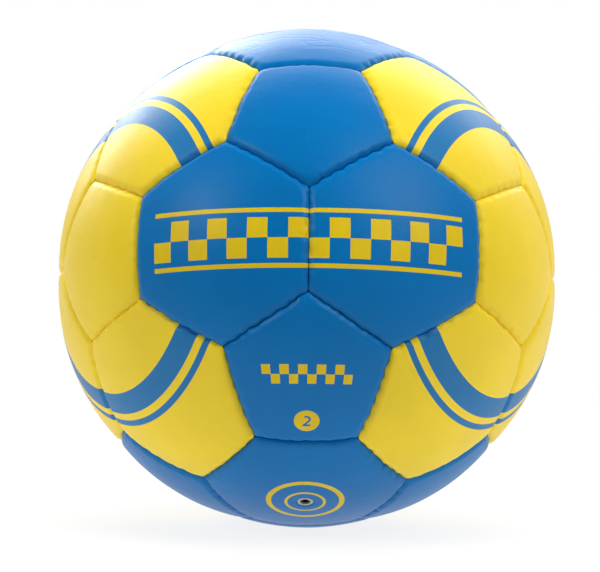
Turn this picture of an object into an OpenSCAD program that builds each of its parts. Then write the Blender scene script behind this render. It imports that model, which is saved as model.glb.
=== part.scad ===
// Hand-stitched handball of thirty-two panels: twelve five-sided and twenty six-sided.
// Each panel is a leather skin with turned-in lips and its own bonded lining. Thread runs
// through the lips of both panels at every seam. A round bladder with a valve fills the cover.
// Lengths are millimetres. +Z is up, the origin is the ball's centre, the front looks along -Y.

/* [Ball] */
// Diameter over the crowns of the panels
ball_d = 175; // [150:1:200]
// How far a panel's crown stands above the middle of its edges
crown_h = 0.75; // [0.4:0.05:1.2]
// Tilt of the panel pattern, front upwards, in degrees
pattern_tilt = 12; // [0:1:30]

/* [Cover] */
// Thickness of the leather skin and of its lips
cover_t = 1.3; // [1:0.05:1.6]
// Colour of the panels over the middle of the ball
main_colour = "#0b67a8"; // [#0b67a8:Blue, #b3202c:Red, #2f7d3a:Green]
// Colour of the panels round the sides
side_colour = "#eccb34"; // [#eccb34:Yellow, #f2f2ee:White, #e58a1f:Orange]

/* [Seams] */
// Width of the crack between two lips
seam_gap = 0.4; // [0.2:0.05:0.8]
// Width of the shoulder that rolls down into a seam
shoulder_w = 2.4; // [1.6:0.1:3]
// Height of that shoulder
shoulder_h = 1.5; // [1:0.05:1.7]
// Radius of that shoulder
shoulder_r = 3.6; // [3.2:0.1:5]

/* [Stitching] */
// Stitches in each seam
stitches = 7; // [4:1:8]
// Width of the flat thread that runs along a lip
thread_w = 0.9; // [0.8:0.05:1.1]
// Thickness of that thread
thread_t = 0.6; // [0.4:0.05:0.8]
// Thickness of the thread that crosses a seam
stitch_d = 0.7; // [0.4:0.05:0.75]
// Leather left below a stitch hole, down to the lip's free edge
stitch_edge = 0.5; // [0.4:0.05:0.7]

/* [Lining] */
// Thickness of foam and cloth under a panel's crown
lining_t = 2.9; // [2.7:0.1:4]

/* [Bladder] */
// Thickness of the rubber bladder
bladder_t = 1; // [0.6:0.1:2]

/* [Valve] */
// Diameter of the neck that shows in the cover
neck_d = 5.3; // [5:0.1:7]
// How far the neck's end lies below the leather's face
neck_sink = 0.35; // [0.2:0.05:0.9]
// Diameter of the hub under the leather
hub_d = 9; // [8:0.1:12]
// Diameter of the flange inside the bladder
flange_d = 26; // [18:0.5:36]
// Thickness of that flange
flange_t = 1.2; // [0.8:0.1:2]
// Length of the stem that reaches in from the flange
stem_l = 14; // [10:0.5:20]
// Diameter of the plug
plug_d = 3.5; // [3.2:0.1:4]
// Diameter of the bead that keeps the plug in
bead_d = 4.8; // [4.4:0.1:5.4]
// Length of that bead
bead_l = 4; // [2:0.5:6]
// Diameter of the guide hole for an inflating needle
needle_d = 2.2; // [1.8:0.1:2.6]
// Depth of that guide hole
needle_depth = 8; // [6:0.5:12]
// Diameter of the patch between lining and bladder
patch_d = 32; // [24:1:40]
// Thickness of that patch
patch_t = 0.5; // [0.3:0.05:0.8]

/* [Fits] */
// Gap between glued or vulcanised faces
bond_gap = 0.05; // [0.02:0.01:0.1]
// Gap round pieces that are pressed or sewn in place
fit_gap = 0.1; // [0.05:0.01:0.15]

/* [Hidden] */
$fn = 64;
golden = (1 + sqrt(5)) / 2;
ball_r = ball_d / 2;
// How far a cutting shape runs past what it cuts
overrun = shoulder_w;
// How far a shoulder's cut runs on past the seam's ends, as a share of half the seam
shoulder_sweep_share = 1.1;

// Radii of the layers, from the crown inwards
lining_r = ball_r - cover_t - lining_t;
bladder_r = lining_r - fit_gap;
cavity_r = bladder_r - bladder_t;
flange_r = cavity_r - bond_gap;
patch_r = lining_r + patch_t;

// Directions that the names are made of
LEFT_RIGHT = [["left", -1], ["right", 1]];
FRONT_BACK = [["front", -1], ["back", 1]];
UPPER_LOWER = [["upper", 1], ["lower", -1]];
TOP_BOTTOM = [["top", 1], ["bottom", -1]];

// Each panel is a name, the direction of its crown and its number of sides
PENTAGONS = concat(
    [for (y = FRONT_BACK, z = UPPER_LOWER)
        [str("pentagon_", y[0], "_", z[0]), [0, y[1] * golden, z[1]], 5]],
    [for (z = TOP_BOTTOM, x = LEFT_RIGHT)
        [str("pentagon_", z[0], "_", x[0]), [x[1], 0, z[1] * golden], 5]],
    [for (x = LEFT_RIGHT, y = FRONT_BACK)
        [str("pentagon_", x[0], "_", y[0]), [x[1] * golden, y[1], 0], 5]]);
HEXAGONS = concat(
    [for (y = FRONT_BACK, x = LEFT_RIGHT)
        [str("hexagon_", y[0], "_", x[0]), [x[1] / golden, y[1] * golden, 0], 6]],
    [for (z = TOP_BOTTOM, y = FRONT_BACK)
        [str("hexagon_", z[0], "_", y[0]), [0, y[1] / golden, z[1] * golden], 6]],
    [for (x = LEFT_RIGHT, z = UPPER_LOWER)
        [str("hexagon_", x[0], "_", z[0]), [x[1] * golden, 0, z[1] / golden], 6]],
    [for (x = LEFT_RIGHT, y = FRONT_BACK, z = UPPER_LOWER)
        [str("hexagon_", x[0], "_", y[0], "_", z[0]), [x[1], y[1], z[1]], 6]]);
PANELS = concat(PENTAGONS, HEXAGONS);

// Main directions, for pieces that are grouped by where they lie
REGIONS = [
    ["left", [-1, 0, 0]], ["right", [1, 0, 0]], ["front", [0, -1, 0]],
    ["back", [0, 1, 0]], ["top", [0, 0, 1]], ["bottom", [0, 0, -1]]];

function unit(v) = v / norm(v);
function angle_between(a, b) = acos(unit(a) * unit(b));
function nearest(dir, panels) =
    let (angles = [for (p = panels) angle_between(dir, p[1])])
    [for (i = [0:len(panels) - 1]) if (angles[i] == min(angles)) panels[i]][0];

// The middle panels are in the main colour, those that face left or right in the side colour
function is_main(p) = p[2] == 5 ? abs(p[1].x) < golden : p[1].x == 0 || p[1].z == 0;
function panel_colour(p) = is_main(p) ? main_colour : side_colour;

// Seams follow the edges of a truncated icosahedron: its corners lie a third of the way along
// the line from one five-sided panel's crown to the next
joined_angle = angle_between(PENTAGONS[0][1], PENTAGONS[1][1]);
function joined(p, q) = abs(angle_between(p[1], q[1]) - joined_angle) < 1;
function corner(p, q) = (2 * p[1] + q[1]) / 3;
HEX_HEX_SEAMS = [for (i = [0:10], j = [i + 1:11])
    let (p = PENTAGONS[i], q = PENTAGONS[j]) if (joined(p, q)) [corner(p, q), corner(q, p)]];
function ring_seams(p) =
    let (around = [for (q = PENTAGONS) if (joined(p, q)) q])
    [for (i = [0:3], j = [i + 1:4]) if (joined(around[i], around[j]))
        [corner(p, around[i]), corner(p, around[j])]];
function seam_middle(s) = unit(s[0] + s[1]);

// Half the arc of a seam, and how far a seam's middle lies from the crowns on its two sides
seam_half = angle_between(HEX_HEX_SEAMS[0][0], HEX_HEX_SEAMS[0][1]) / 2;
sample_seam = ring_seams(PENTAGONS[0])[0];
five_side_angle = angle_between(PENTAGONS[0][1], seam_middle(sample_seam));
six_side_angle = angle_between(nearest(seam_middle(sample_seam), HEXAGONS)[1], seam_middle(sample_seam));
function side_angle(sides) = sides == 5 ? five_side_angle : six_side_angle;

// The crown is a dome whose centre lies towards the panel, so that its edges sink by crown_h
function dome_offset(sides) =
    (ball_r ^ 2 - (ball_r - crown_h) ^ 2) / (2 * (ball_r - (ball_r - crown_h) * cos(side_angle(sides))));
function dome_r(sides) = ball_r - dome_offset(sides);

// Stitches: the row of holes follows the lip's free edge. The threads of two neighbouring
// seams clear each other at the sharpest corner, which sets where a row starts and ends
hole_d = stitch_d + 2 * bond_gap;
stitch_row_r = lining_r + stitch_edge + hole_d / 2;
lip_back = seam_gap / 2 + cover_t;
thread_line = lip_back + bond_gap + thread_t / 2;
thread_back = thread_line + thread_t / 2;
lining_side = thread_back + fit_gap;
thread_tail = stitch_d / 2 + fit_gap;
corner_half = 90 - 180 / 5;
corner_room = (fit_gap / 2 + thread_back * cos(corner_half)) / sin(corner_half) + thread_tail;
row_half = seam_half - asin(corner_room / stitch_row_r);
stitch_angles = [for (i = [0:stitches - 1]) row_half * (2 * i / (stitches - 1) - 1)];

// Valve: its lengths are measured along the axis through the middle of its panel
valve_panel = [for (p = HEXAGONS) if (p[0] == "hexagon_bottom_front") p][0];
neck_end = ball_r - neck_sink;
plug_end = neck_end - neck_sink;
stem_end = flange_r - flange_t - stem_l;
hub_end = dome_offset(6) + sqrt((dome_r(6) - cover_t) ^ 2 - (hub_d / 2) ^ 2) - fit_gap;

// Turns the pattern from its own upright frame to the way the ball lies
module as_it_lies() {
    rotate([-pattern_tilt, 0, 0]) children();
}

// Puts a shape made along +Z at a panel's place, with +X towards one of its sides
module at_panel(p) {
    z = unit(p[1]);
    toward = p[2] == 5 ? nearest(p[1], HEXAGONS)[1] : nearest(p[1], PENTAGONS)[1];
    x = unit(toward - (toward * z) * z);
    y = cross(z, x);
    multmatrix([[x.x, y.x, z.x, 0], [x.y, y.y, z.y, 0], [x.z, y.z, z.z, 0], [0, 0, 0, 1]]) children();
}

// Puts a shape made round Z, with its middle at -X, in a seam's plane
module at_seam(s) {
    m = seam_middle(s);
    z = unit(cross(m, s[1] - s[0]));
    y = cross(m, z);
    multmatrix([[-m.x, y.x, z.x, 0], [-m.y, y.y, z.y, 0], [-m.z, y.z, z.z, 0], [0, 0, 0, 1]]) children();
}

// The same for each side of a panel made along +Z: Z points out across the side's seam
module at_sides(sides) {
    for (i = [0:sides - 1])
        rotate([0, 0, i * 360 / sides]) rotate([0, 90 + side_angle(sides), 0]) children();
}

// Wedge between the planes of a panel's seams, each moved in by inset
module sector(sides, inset) {
    reach = ball_r + overrun;
    slope = tan(side_angle(sides)) / cos(180 / sides);
    translate([0, 0, inset / sin(side_angle(sides))])
        rotate([0, 0, 180 / sides])
            cylinder(h = reach, r1 = 0, r2 = reach * slope, $fn = sides);
}

// Everything under the face that lies depth below a panel's crown, inset from its seams
module under_face(sides, depth, inset) {
    intersection() {
        translate([0, 0, dome_offset(sides)]) sphere(dome_r(sides) - depth);
        sector(sides, inset);
    }
}

// What is rolled off along a side: outside an arc from the lip's face to the crown's face,
// turned about the line across the seam through the dome's centre
module shoulder_cut(sides) {
    lip_y = dome_offset(sides) * sin(side_angle(sides)) - seam_gap / 2;
    crown_y = lip_y - shoulder_w;
    lip = [sqrt(dome_r(sides) ^ 2 - lip_y ^ 2) - shoulder_h, lip_y];
    crown = [sqrt(dome_r(sides) ^ 2 - crown_y ^ 2), crown_y];
    half = (crown - lip) / 2;
    inward = unit([half.y, -half.x]);
    centre = lip + half + inward * sqrt(shoulder_r ^ 2 - half * half);
    sweep = seam_half * shoulder_sweep_share;
    rotate([0, 0, 180 - sweep]) rotate_extrude(angle = 2 * sweep) difference() {
        translate(centre) square([shoulder_r + overrun, shoulder_r + overrun]);
        translate(centre) circle(shoulder_r);
    }
}

module stitch_holes() {
    for (a = stitch_angles)
        rotate([0, 0, a]) translate([-stitch_row_r, 0, -lip_back - thread_t])
            cylinder(d = hole_d, h = lip_back + 2 * thread_t);
}

// Leather skin of one panel, open underneath, with its edges turned in to the lips
module cover_panel(p) {
    sides = p[2];
    color(panel_colour(p)) as_it_lies() at_panel(p) difference() {
        difference() {
            under_face(sides, 0, seam_gap / 2);
            translate([0, 0, dome_offset(sides)]) at_sides(sides) shoulder_cut(sides);
        }
        under_face(sides, cover_t, lip_back);
        sphere(lining_r);
        at_sides(sides) stitch_holes();
        if (p == valve_panel) cylinder(d = neck_d + 2 * fit_gap, h = ball_r + overrun);
    }
}

// Foam and cloth that fill one panel's skin, clear of the threads along its lips
module lining_piece(p) {
    as_it_lies() at_panel(p) difference() {
        under_face(p[2], cover_t + bond_gap, lining_side);
        sphere(lining_r);
        if (p == valve_panel) {
            cylinder(d = hub_d + 2 * fit_gap, h = ball_r + overrun);
            intersection() {
                cylinder(d = patch_d + 2 * fit_gap, h = ball_r);
                sphere(patch_r);
            }
        }
    }
}

module lining_group(region) {
    color("#d9d4c6") for (p = PANELS) if (nearest(p[1], REGIONS) == region) lining_piece(p);
}

// Thread of one seam: a run along each lip, joined by the stitches that cross the seam
module seam_thread(s) {
    run_half = row_half + asin(thread_tail / stitch_row_r);
    as_it_lies() at_seam(s) {
        for (side = [-1, 1])
            translate([0, 0, side * thread_line]) rotate([0, 0, 180 - run_half])
                rotate_extrude(angle = 2 * run_half)
                    translate([stitch_row_r, 0]) square([thread_w, thread_t], center = true);
        for (a = stitch_angles)
            rotate([0, 0, a]) translate([-stitch_row_r, 0, -thread_line])
                cylinder(d = stitch_d, h = 2 * thread_line);
    }
}

module thread_round(p) {
    color("#1c2c44") for (s = ring_seams(p)) seam_thread(s);
}

module thread_across(region) {
    color("#1c2c44") for (s = HEX_HEX_SEAMS) if (nearest(seam_middle(s), REGIONS) == region) seam_thread(s);
}

module bladder() {
    color("#2a2a2c") as_it_lies() difference() {
        sphere(bladder_r);
        sphere(cavity_r);
        at_panel(valve_panel) cylinder(d = hub_d + 2 * bond_gap, h = ball_r);
    }
}

module valve_patch() {
    color("#b9b3a2") as_it_lies() at_panel(valve_panel) difference() {
        intersection() {
            cylinder(d = patch_d, h = ball_r);
            sphere(patch_r - bond_gap);
        }
        sphere(lining_r);
        cylinder(d = hub_d + 2 * fit_gap, h = ball_r);
    }
}

// Rubber neck, hub and stem in one, with a flange that seals against the bladder's inside
module valve_body() {
    color("#b4b6a2") as_it_lies() at_panel(valve_panel) difference() {
        union() {
            translate([0, 0, stem_end]) cylinder(d = hub_d, h = hub_end - stem_end);
            translate([0, 0, stem_end]) cylinder(d = neck_d, h = neck_end - stem_end);
            intersection() {
                cylinder(d = flange_d, h = ball_r);
                difference() {
                    sphere(flange_r);
                    sphere(flange_r - flange_t);
                }
            }
        }
        translate([0, 0, stem_end - overrun])
            cylinder(d = bead_d + 2 * fit_gap, h = overrun + bead_l + fit_gap);
        translate([0, 0, stem_end]) cylinder(d = plug_d + 2 * fit_gap, h = ball_r);
    }
}

// Soft plug with a bead at its inner end and a blind guide hole for a needle
module valve_plug() {
    color("#1b2b4a") as_it_lies() at_panel(valve_panel) difference() {
        union() {
            translate([0, 0, stem_end]) cylinder(d = plug_d, h = plug_end - stem_end);
            translate([0, 0, stem_end]) cylinder(d = bead_d, h = bead_l);
        }
        translate([0, 0, plug_end - needle_depth]) cylinder(d = needle_d, h = needle_depth + overrun);
    }
}

for (p = PANELS) cover_panel(p);
for (r = REGIONS) lining_group(r);
for (p = PENTAGONS) thread_round(p);
for (r = REGIONS) thread_across(r);
bladder();
valve_patch();
valve_body();
valve_plug();
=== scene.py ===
"""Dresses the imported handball: puffy leather panels, their stitches, linings, bladder and valve."""
import math
from itertools import product

import bmesh
import bpy
import numpy as np
from bpy.props import FloatProperty, FloatVectorProperty, IntProperty, PointerProperty
from mathutils import Matrix, Vector


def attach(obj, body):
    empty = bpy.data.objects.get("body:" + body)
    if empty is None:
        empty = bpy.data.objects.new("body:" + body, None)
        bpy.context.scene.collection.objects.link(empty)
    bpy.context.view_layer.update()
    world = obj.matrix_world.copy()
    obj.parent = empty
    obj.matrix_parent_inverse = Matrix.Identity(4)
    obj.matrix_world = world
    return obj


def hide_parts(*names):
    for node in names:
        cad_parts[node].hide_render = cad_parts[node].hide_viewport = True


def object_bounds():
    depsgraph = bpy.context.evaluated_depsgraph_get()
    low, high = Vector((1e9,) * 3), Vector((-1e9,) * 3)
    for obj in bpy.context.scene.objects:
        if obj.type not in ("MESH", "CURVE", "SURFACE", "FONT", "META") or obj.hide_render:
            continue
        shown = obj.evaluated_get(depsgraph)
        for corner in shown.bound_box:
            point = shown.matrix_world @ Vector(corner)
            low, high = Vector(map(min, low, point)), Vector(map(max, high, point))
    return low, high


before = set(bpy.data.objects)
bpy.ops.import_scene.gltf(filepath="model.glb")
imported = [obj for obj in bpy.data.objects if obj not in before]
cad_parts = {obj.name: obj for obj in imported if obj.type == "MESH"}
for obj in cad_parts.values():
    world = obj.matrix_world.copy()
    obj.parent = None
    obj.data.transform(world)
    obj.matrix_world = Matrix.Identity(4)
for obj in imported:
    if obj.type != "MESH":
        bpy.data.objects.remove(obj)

bl_info = {
    "name": "Hand-stitched handball",
    "version": (1, 0, 0),
    "blender": (4, 5, 0),
    "location": "3D View > Sidebar > Handball",
    "description": "Leather panels, seams, lining, bladder, valve and stage of a handball",
    "category": "Add Mesh",
}

CAD_BOX = [list(corner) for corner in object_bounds()]
MM = 0.001
# Stands in for zero where something is divided by it
TINY = 1e-9
GOLDEN = (1 + 5 ** 0.5) / 2

# The panel pattern leans back from its own upright frame by this angle, as in the CAD model
PATTERN_TILT = math.radians(12)

# Words of the panels' names and the sides of the axes that they stand for
LEFT_RIGHT = {"left": -1, "right": 1}
FRONT_BACK = {"front": -1, "back": 1}
UPPER_LOWER = {"upper": 1, "lower": -1}
TOP_BOTTOM = {"top": 1, "bottom": -1}
REGIONS = ("left", "right", "front", "back", "top", "bottom")


def linear(code):
    """Turns an sRGB hex colour into linear RGBA."""
    parts = [int(code[i:i + 2], 16) / 255 for i in (1, 3, 5)]
    return [c / 12.92 if c <= 0.04045 else ((c + 0.055) / 1.055) ** 2.4 for c in parts] + [1.0]


def length_setting(name, description, default):
    """A length in metres."""
    return FloatProperty(name=name, description=description, default=default, unit="LENGTH", precision=5)


def angle_setting(name, description, degrees):
    """An angle, given in degrees."""
    return FloatProperty(name=name, description=description, default=math.radians(degrees), unit="ROTATION")


def power_setting(name, description, default):
    """The power of a lamp in watts."""
    return FloatProperty(name=name, description=description, default=default, unit="POWER")


def colour_setting(name, description, code):
    """A colour, given as an sRGB hex code."""
    return FloatVectorProperty(name=name, description=description, default=linear(code), size=4,
                               subtype="COLOR", min=0, max=1)


class HANDBALL_PG_sizes(bpy.types.PropertyGroup):
    """Sizes of the leather panels"""
    ball_d: length_setting("Ball diameter", "Diameter over the panels' crowns", 175 * MM)
    crown_h: length_setting(
        "Crown height", "How far a panel's crown stands above the middle of its edges", 0.75 * MM)
    seam_gap: length_setting(
        "Seam gap", "Width of the crack between two lips where it is drawn tight", 0.02 * MM)
    lip_opening: length_setting(
        "Lip opening", "How far a lip beside a main panel stands back from the seam", 0.08 * MM)
    shoulder_w: length_setting(
        "Shoulder width", "Width of the roll that leads down into a seam", 2.6 * MM)
    shoulder_h: length_setting("Shoulder height", "Height of that roll", 1.15 * MM)
    shoulder_turn: angle_setting(
        "Shoulder turn", "How much of a quarter turn the roll makes before its lip", 50)
    corner_r: length_setting("Corner radius", "Radius of a panel's corners at the lip", 1.8 * MM)
    cover_t: length_setting("Leather thickness", "Thickness of the skin and its lips", 1.3 * MM)
    lip_end: length_setting("Lip end", "Distance from the ball's centre to a lip's free edge", 83.35 * MM)
    stitches: IntProperty(name="Stitches", description="Stitches in each seam", default=7)
    stitch_row: angle_setting(
        "Stitch row", "Angle at the ball's centre from a seam's middle to its last stitch", 10.23)
    pucker: length_setting("Pucker", "How deep a stitch draws the leather in", 0.36 * MM)
    valve_hole_d: length_setting("Valve hole", "Diameter of the hole round the valve's neck", 5.5 * MM)


class HANDBALL_PG_colours(bpy.types.PropertyGroup):
    """Colours of the visible pieces"""
    main: colour_setting("Main leather", "Colour of the panels over the middle of the ball", "#0070b4")
    side: colour_setting("Side leather", "Colour of the panels that face left and right", "#f2d32f")
    main_print: colour_setting("Print on main leather", "Ink of the chequers, rings and disc", "#e2c21c")
    side_print: colour_setting("Print on side leather", "Ink of the bands", "#2274ae")
    thread: colour_setting("Thread", "Waxed thread in the seams", "#1a2a42")
    valve: colour_setting("Valve rubber", "Neck and body of the valve", "#b4b6a2")
    plug: colour_setting("Plug rubber", "Plug in the valve", "#0c1426")


class HANDBALL_PG_stage(bpy.types.PropertyGroup):
    """Floor and lights"""
    floor: colour_setting("Floor", "Colour of the floor", "#c2c2c2")
    table: FloatProperty(
        name="Light table", description="Strength of the light through the floor, under and behind the ball",
        default=0.5)
    left_power: power_setting("Left light", "Power of the softbox at the upper left", 6.3)
    right_power: power_setting("Right light", "Power of the softbox at the upper right", 11)
    overhead_power: power_setting("Overhead light", "Power of the large screen over the ball", 25)
    rim_power: power_setting("Rim light", "Power of the long softbox high behind the ball", 14)
    rim_left_power: power_setting("Left rim light", "Power of the softbox behind the ball at the left", 17)
    tent: FloatProperty(
        name="Tent", description="Strength of the white tent behind the ball", default=1.15)
    tent_front: FloatProperty(
        name="Tent front", description="Strength of the tent's open front", default=0.02)


def unit(v):
    """Directions of length 1."""
    v = np.asarray(v, float)
    return v / np.linalg.norm(v, axis=-1, keepdims=True)


def as_it_lies(v):
    """Turns directions from the pattern's upright frame to the row frame."""
    x, y, z = np.asarray(v, float).T
    c, s = math.cos(PATTERN_TILT), math.sin(PATTERN_TILT)
    return np.array([x, y * c + z * s, z * c - y * s]).T


def pattern():
    """Directions of the panels' crowns by name, in the pattern's upright frame."""
    made = {}
    for y, z in product(FRONT_BACK, UPPER_LOWER):
        made[f"pentagon_{y}_{z}"] = (0, FRONT_BACK[y] * GOLDEN, UPPER_LOWER[z])
    for z, x in product(TOP_BOTTOM, LEFT_RIGHT):
        made[f"pentagon_{z}_{x}"] = (LEFT_RIGHT[x], 0, TOP_BOTTOM[z] * GOLDEN)
    for x, y in product(LEFT_RIGHT, FRONT_BACK):
        made[f"pentagon_{x}_{y}"] = (LEFT_RIGHT[x] * GOLDEN, FRONT_BACK[y], 0)
        made[f"hexagon_{y}_{x}"] = (LEFT_RIGHT[x] / GOLDEN, FRONT_BACK[y] * GOLDEN, 0)
    for z, y in product(TOP_BOTTOM, FRONT_BACK):
        made[f"hexagon_{z}_{y}"] = (0, FRONT_BACK[y] / GOLDEN, TOP_BOTTOM[z] * GOLDEN)
    for x, z in product(LEFT_RIGHT, UPPER_LOWER):
        made[f"hexagon_{x}_{z}"] = (LEFT_RIGHT[x] * GOLDEN, 0, UPPER_LOWER[z] / GOLDEN)
    for x, y, z in product(LEFT_RIGHT, FRONT_BACK, UPPER_LOWER):
        made[f"hexagon_{x}_{y}_{z}"] = (LEFT_RIGHT[x], FRONT_BACK[y], UPPER_LOWER[z])
    return made


CROWNS = pattern()
VALVE_PANEL = "hexagon_bottom_front"
SEAM_COUNT = 90


def sides_of(name):
    """How many sides a panel has."""
    return 5 if name.startswith("pentagon") else 6


def is_main(name):
    """The middle panels are in the main colour, those that face left or right in the side colour."""
    x, y, z = CROWNS[name]
    return abs(x) < GOLDEN if sides_of(name) == 5 else x == 0 or z == 0


def axes_of(name):
    """A panel's own axes in the row frame: X towards one of its sides, Z through its crown."""
    z = unit(as_it_lies(CROWNS[name]))
    others = [unit(as_it_lies(v)) for n, v in CROWNS.items()
              if n.startswith("hexagon" if sides_of(name) == 5 else "pentagon")]
    toward = max(others, key=lambda v: round(float(v @ z), 6))
    x = unit(toward - (toward @ z) * z)
    return np.array([x, np.cross(z, x), z])


def side_angles():
    """Angle from a crown to the middle of one of the panel's sides, for both kinds of panel."""
    five = np.array([0, GOLDEN, 1])
    corners = [(2 * five + np.array(other)) / 3 for other in ((0, GOLDEN, -1), (GOLDEN, 1, 0))]
    middle = unit(corners[0] + corners[1])
    six = np.array([1 / GOLDEN, GOLDEN, 0])
    return {5: math.acos(unit(five) @ middle), 6: math.acos(unit(six) @ middle)}


SIDE_ANGLES = side_angles()


# How many plane waves make up smooth noise, and the shortest and longest as shares of its wavelength
NOISE_WAVES = 9
NOISE_SPREAD = (0.7, 1.5)


def ripples(places, wavelength, seed):
    """Smooth noise of about -1 to 1: a sum of plane waves in random directions."""
    rng = np.random.default_rng(seed)
    ways = unit(rng.normal(size=(NOISE_WAVES, places.shape[1])))
    lengths = wavelength * rng.uniform(*NOISE_SPREAD, (NOISE_WAVES, 1))
    phases = rng.uniform(0, 2 * math.pi, NOISE_WAVES)
    return np.sin(places @ (ways / lengths).T * 2 * math.pi + phases).sum(axis=1) / math.sqrt(NOISE_WAVES)


# First seed of each kind of random draw: a panel's, a side's or a seam's number is added to it
SEEDS = {"hollow": 20, "jitter": 40, "pull_change": 60, "ripple": 80, "crease": 120, "wave": 500,
         "slow": 700, "pull": 900}

# Rows of the panel grid from the crown to the rim, and how many of them lie on the shoulder
PANEL_ROWS = 62
SHOULDER_ROWS = 18
# The row at the edge of the valve's hole, and the numbers of rows that roll into it, that lie
# closer for it, the rolled ones among them, and that run down its wall
HOLE_ROW = 7
HOLE_ROLL_ROWS = 4
HOLE_LEAD_ROWS = 8
HOLE_WALL_ROWS = 2
# Depths of a lip's rows as shares of the lip, and its rows with the two that lead up its inside
LIP_SHARES = (0.3, 0.65, 1)
LIP_ROWS = len(LIP_SHARES) + 2
# Rows over the underside of the skin
UNDER_ROWS = 7
# Added to the level of a row on the wall of the valve's hole, to tell it from the rim's rows
HOLE_LEVEL = 1000


class PanelGrid:
    """Closed prism over a regular polygon, and where each of its vertices lies on a panel.

    Its top is a triangular grid. Its walls and underside are rows drawn down from the rim.
    """

    def __init__(self, sides, wall_rows, pierced=False):
        self.sides = sides
        bm = bmesh.new()
        turn = Matrix.Rotation(math.pi / sides - math.pi / 2, 4, "Z")
        bmesh.ops.create_circle(bm, cap_ends=True, cap_tris=True, segments=sides, radius=1, matrix=turn)
        bmesh.ops.subdivide_edges(bm, edges=bm.edges[:], cuts=PANEL_ROWS - 1, use_grid_fill=True)
        if pierced:
            middle = [v for v in bm.verts if self.rows_out(v.co.x, v.co.y) < HOLE_ROW - 0.5]
            bmesh.ops.delete(bm, geom=middle, context="VERTS")
        edges = [e for e in bm.edges if e.is_boundary]
        rim = [e for e in edges if self.rows_out(*e.verts[0].co.xy) > PANEL_ROWS / 2]
        hole = [e for e in edges if e not in set(rim)]
        rim = self.draw_down(bm, rim, wall_rows)
        if pierced:
            hole = self.draw_down(bm, hole, HOLE_WALL_ROWS)
            bmesh.ops.bridge_loops(bm, edges=hole + rim)
        else:
            bottom = bmesh.ops.contextual_create(bm, geom=rim)["faces"]
            bmesh.ops.poke(bm, faces=bottom)
        bmesh.ops.recalc_face_normals(bm, faces=bm.faces[:])
        self.mesh = bpy.data.meshes.new(f"panel_grid_{sides}")
        bm.to_mesh(self.mesh)
        bm.free()
        self.mesh.shade_smooth()
        self.read_places()

    def draw_down(self, bm, edges, rows):
        """Extrudes a loop of edges down, one unit a row."""
        for _ in range(rows):
            made = bmesh.ops.extrude_edge_only(bm, edges=edges)["geom"]
            verts = [g for g in made if isinstance(g, bmesh.types.BMVert)]
            bmesh.ops.translate(bm, verts=verts, vec=(0, 0, -1))
            edges = [g for g in made if isinstance(g, bmesh.types.BMEdge) and g.is_boundary]
        return edges

    def rows_out(self, x, y):
        """How many rows a point of the flat polygon lies from its middle."""
        step = 2 * math.pi / self.sides
        turn = round(math.atan2(y, x) / step) * step
        return (x * math.cos(turn) + y * math.sin(turn)) / math.cos(step / 2) * PANEL_ROWS

    def read_places(self):
        """Reads each vertex's side, row, share along its side and level below the top."""
        count = len(self.mesh.vertices)
        flat = np.empty(count * 3, np.float32)
        self.mesh.vertices.foreach_get("co", flat)
        x, y, z = flat.astype(float).reshape(-1, 3).T
        step = 2 * math.pi / self.sides
        sector = np.round(np.arctan2(y, x) / step)
        self.turn = sector * step
        self.sector = sector.astype(int) % self.sides
        out = x * np.cos(self.turn) + y * np.sin(self.turn)
        across = y * np.cos(self.turn) - x * np.sin(self.turn)
        self.row = np.round(out / math.cos(step / 2) * PANEL_ROWS).astype(int)
        self.along = np.clip(across / np.maximum(out * math.tan(step / 2), TINY), -1, 1)
        self.along[self.row == 0] = 0
        self.level = np.round(-z).astype(int)
        self.level[(self.level > 0) & (self.row == HOLE_ROW)] += HOLE_LEVEL


# The seam's own wave: the least and most that it swings, what its slow change does to the swing's
# phase and adds to it, and the length of that change in stitches
WAVE_RANGE = (0.1, 1.0)
SLOW_PHASE = 0.8
SLOW_SHARE = 0.35
SLOW_STITCHES = 2.7


class Seams:
    """The ninety seams: where each lies and how its line waves, alike for the panels on its two sides."""

    def __init__(self):
        self.found = {}

    def side(self, middle, inward, along):
        """Number of the seam at a panel's side, and the panel's sense across it and along it."""
        key = tuple(np.round(middle, 2) + 0.0)
        if key not in self.found:
            self.found[key] = (len(self.found), inward, along)
        number, first_inward, first_along = self.found[key]
        return number, np.sign(inward @ first_inward), np.sign(along @ first_along)

    def wave(self, number, angle, pitch):
        """Sideways wave of a seam's line, about -1 to 1, with one swing a stitch."""
        rng = np.random.default_rng(SEEDS["wave"] + number)
        strength = rng.uniform(*WAVE_RANGE)
        phase = rng.uniform(0, 2 * math.pi)
        slow = ripples(angle[:, None], SLOW_STITCHES * pitch, SEEDS["slow"] + number)
        swing = np.sin(2 * math.pi * angle / pitch + phase + SLOW_PHASE * slow)
        return strength * swing + SLOW_SHARE * slow


# How far in from the lip each effect of a seam fades, and the size of those that aren't settings
WAVE_SIZE = 0.26 * MM
WAVE_FADE = 2.6 * MM
OPENING_FADE = 0.9 * MM
PUCKER_FADE = 1.6 * MM
RIPPLE_SIZE = 0.04 * MM
RIPPLE_FADE = 2.4 * MM
# How narrow a pucker is: a higher power draws in less leather between two stitches
PUCKER_POWER = 1.6
# How uneven the stitches are: how far they stray as a share of their pitch, the least and most that
# a side's stitches pull, and the share by which that changes along the side
STITCH_JITTER = 0.12
PULL_RANGE = (0.35, 1.25)
PULL_CHANGE = 0.3
# Lengths of those changes and of the small ripples, in stitches
JITTER_STITCHES = 3
PULL_STITCHES = 2
RIPPLE_STITCHES = 0.55
# Share of half a side, at its end, over which the corner holds the leather still
CORNER_HOLD = 0.14
# Share of the lips' opening that stays at a stitch
OPENING_LEAST = 0.5

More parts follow.
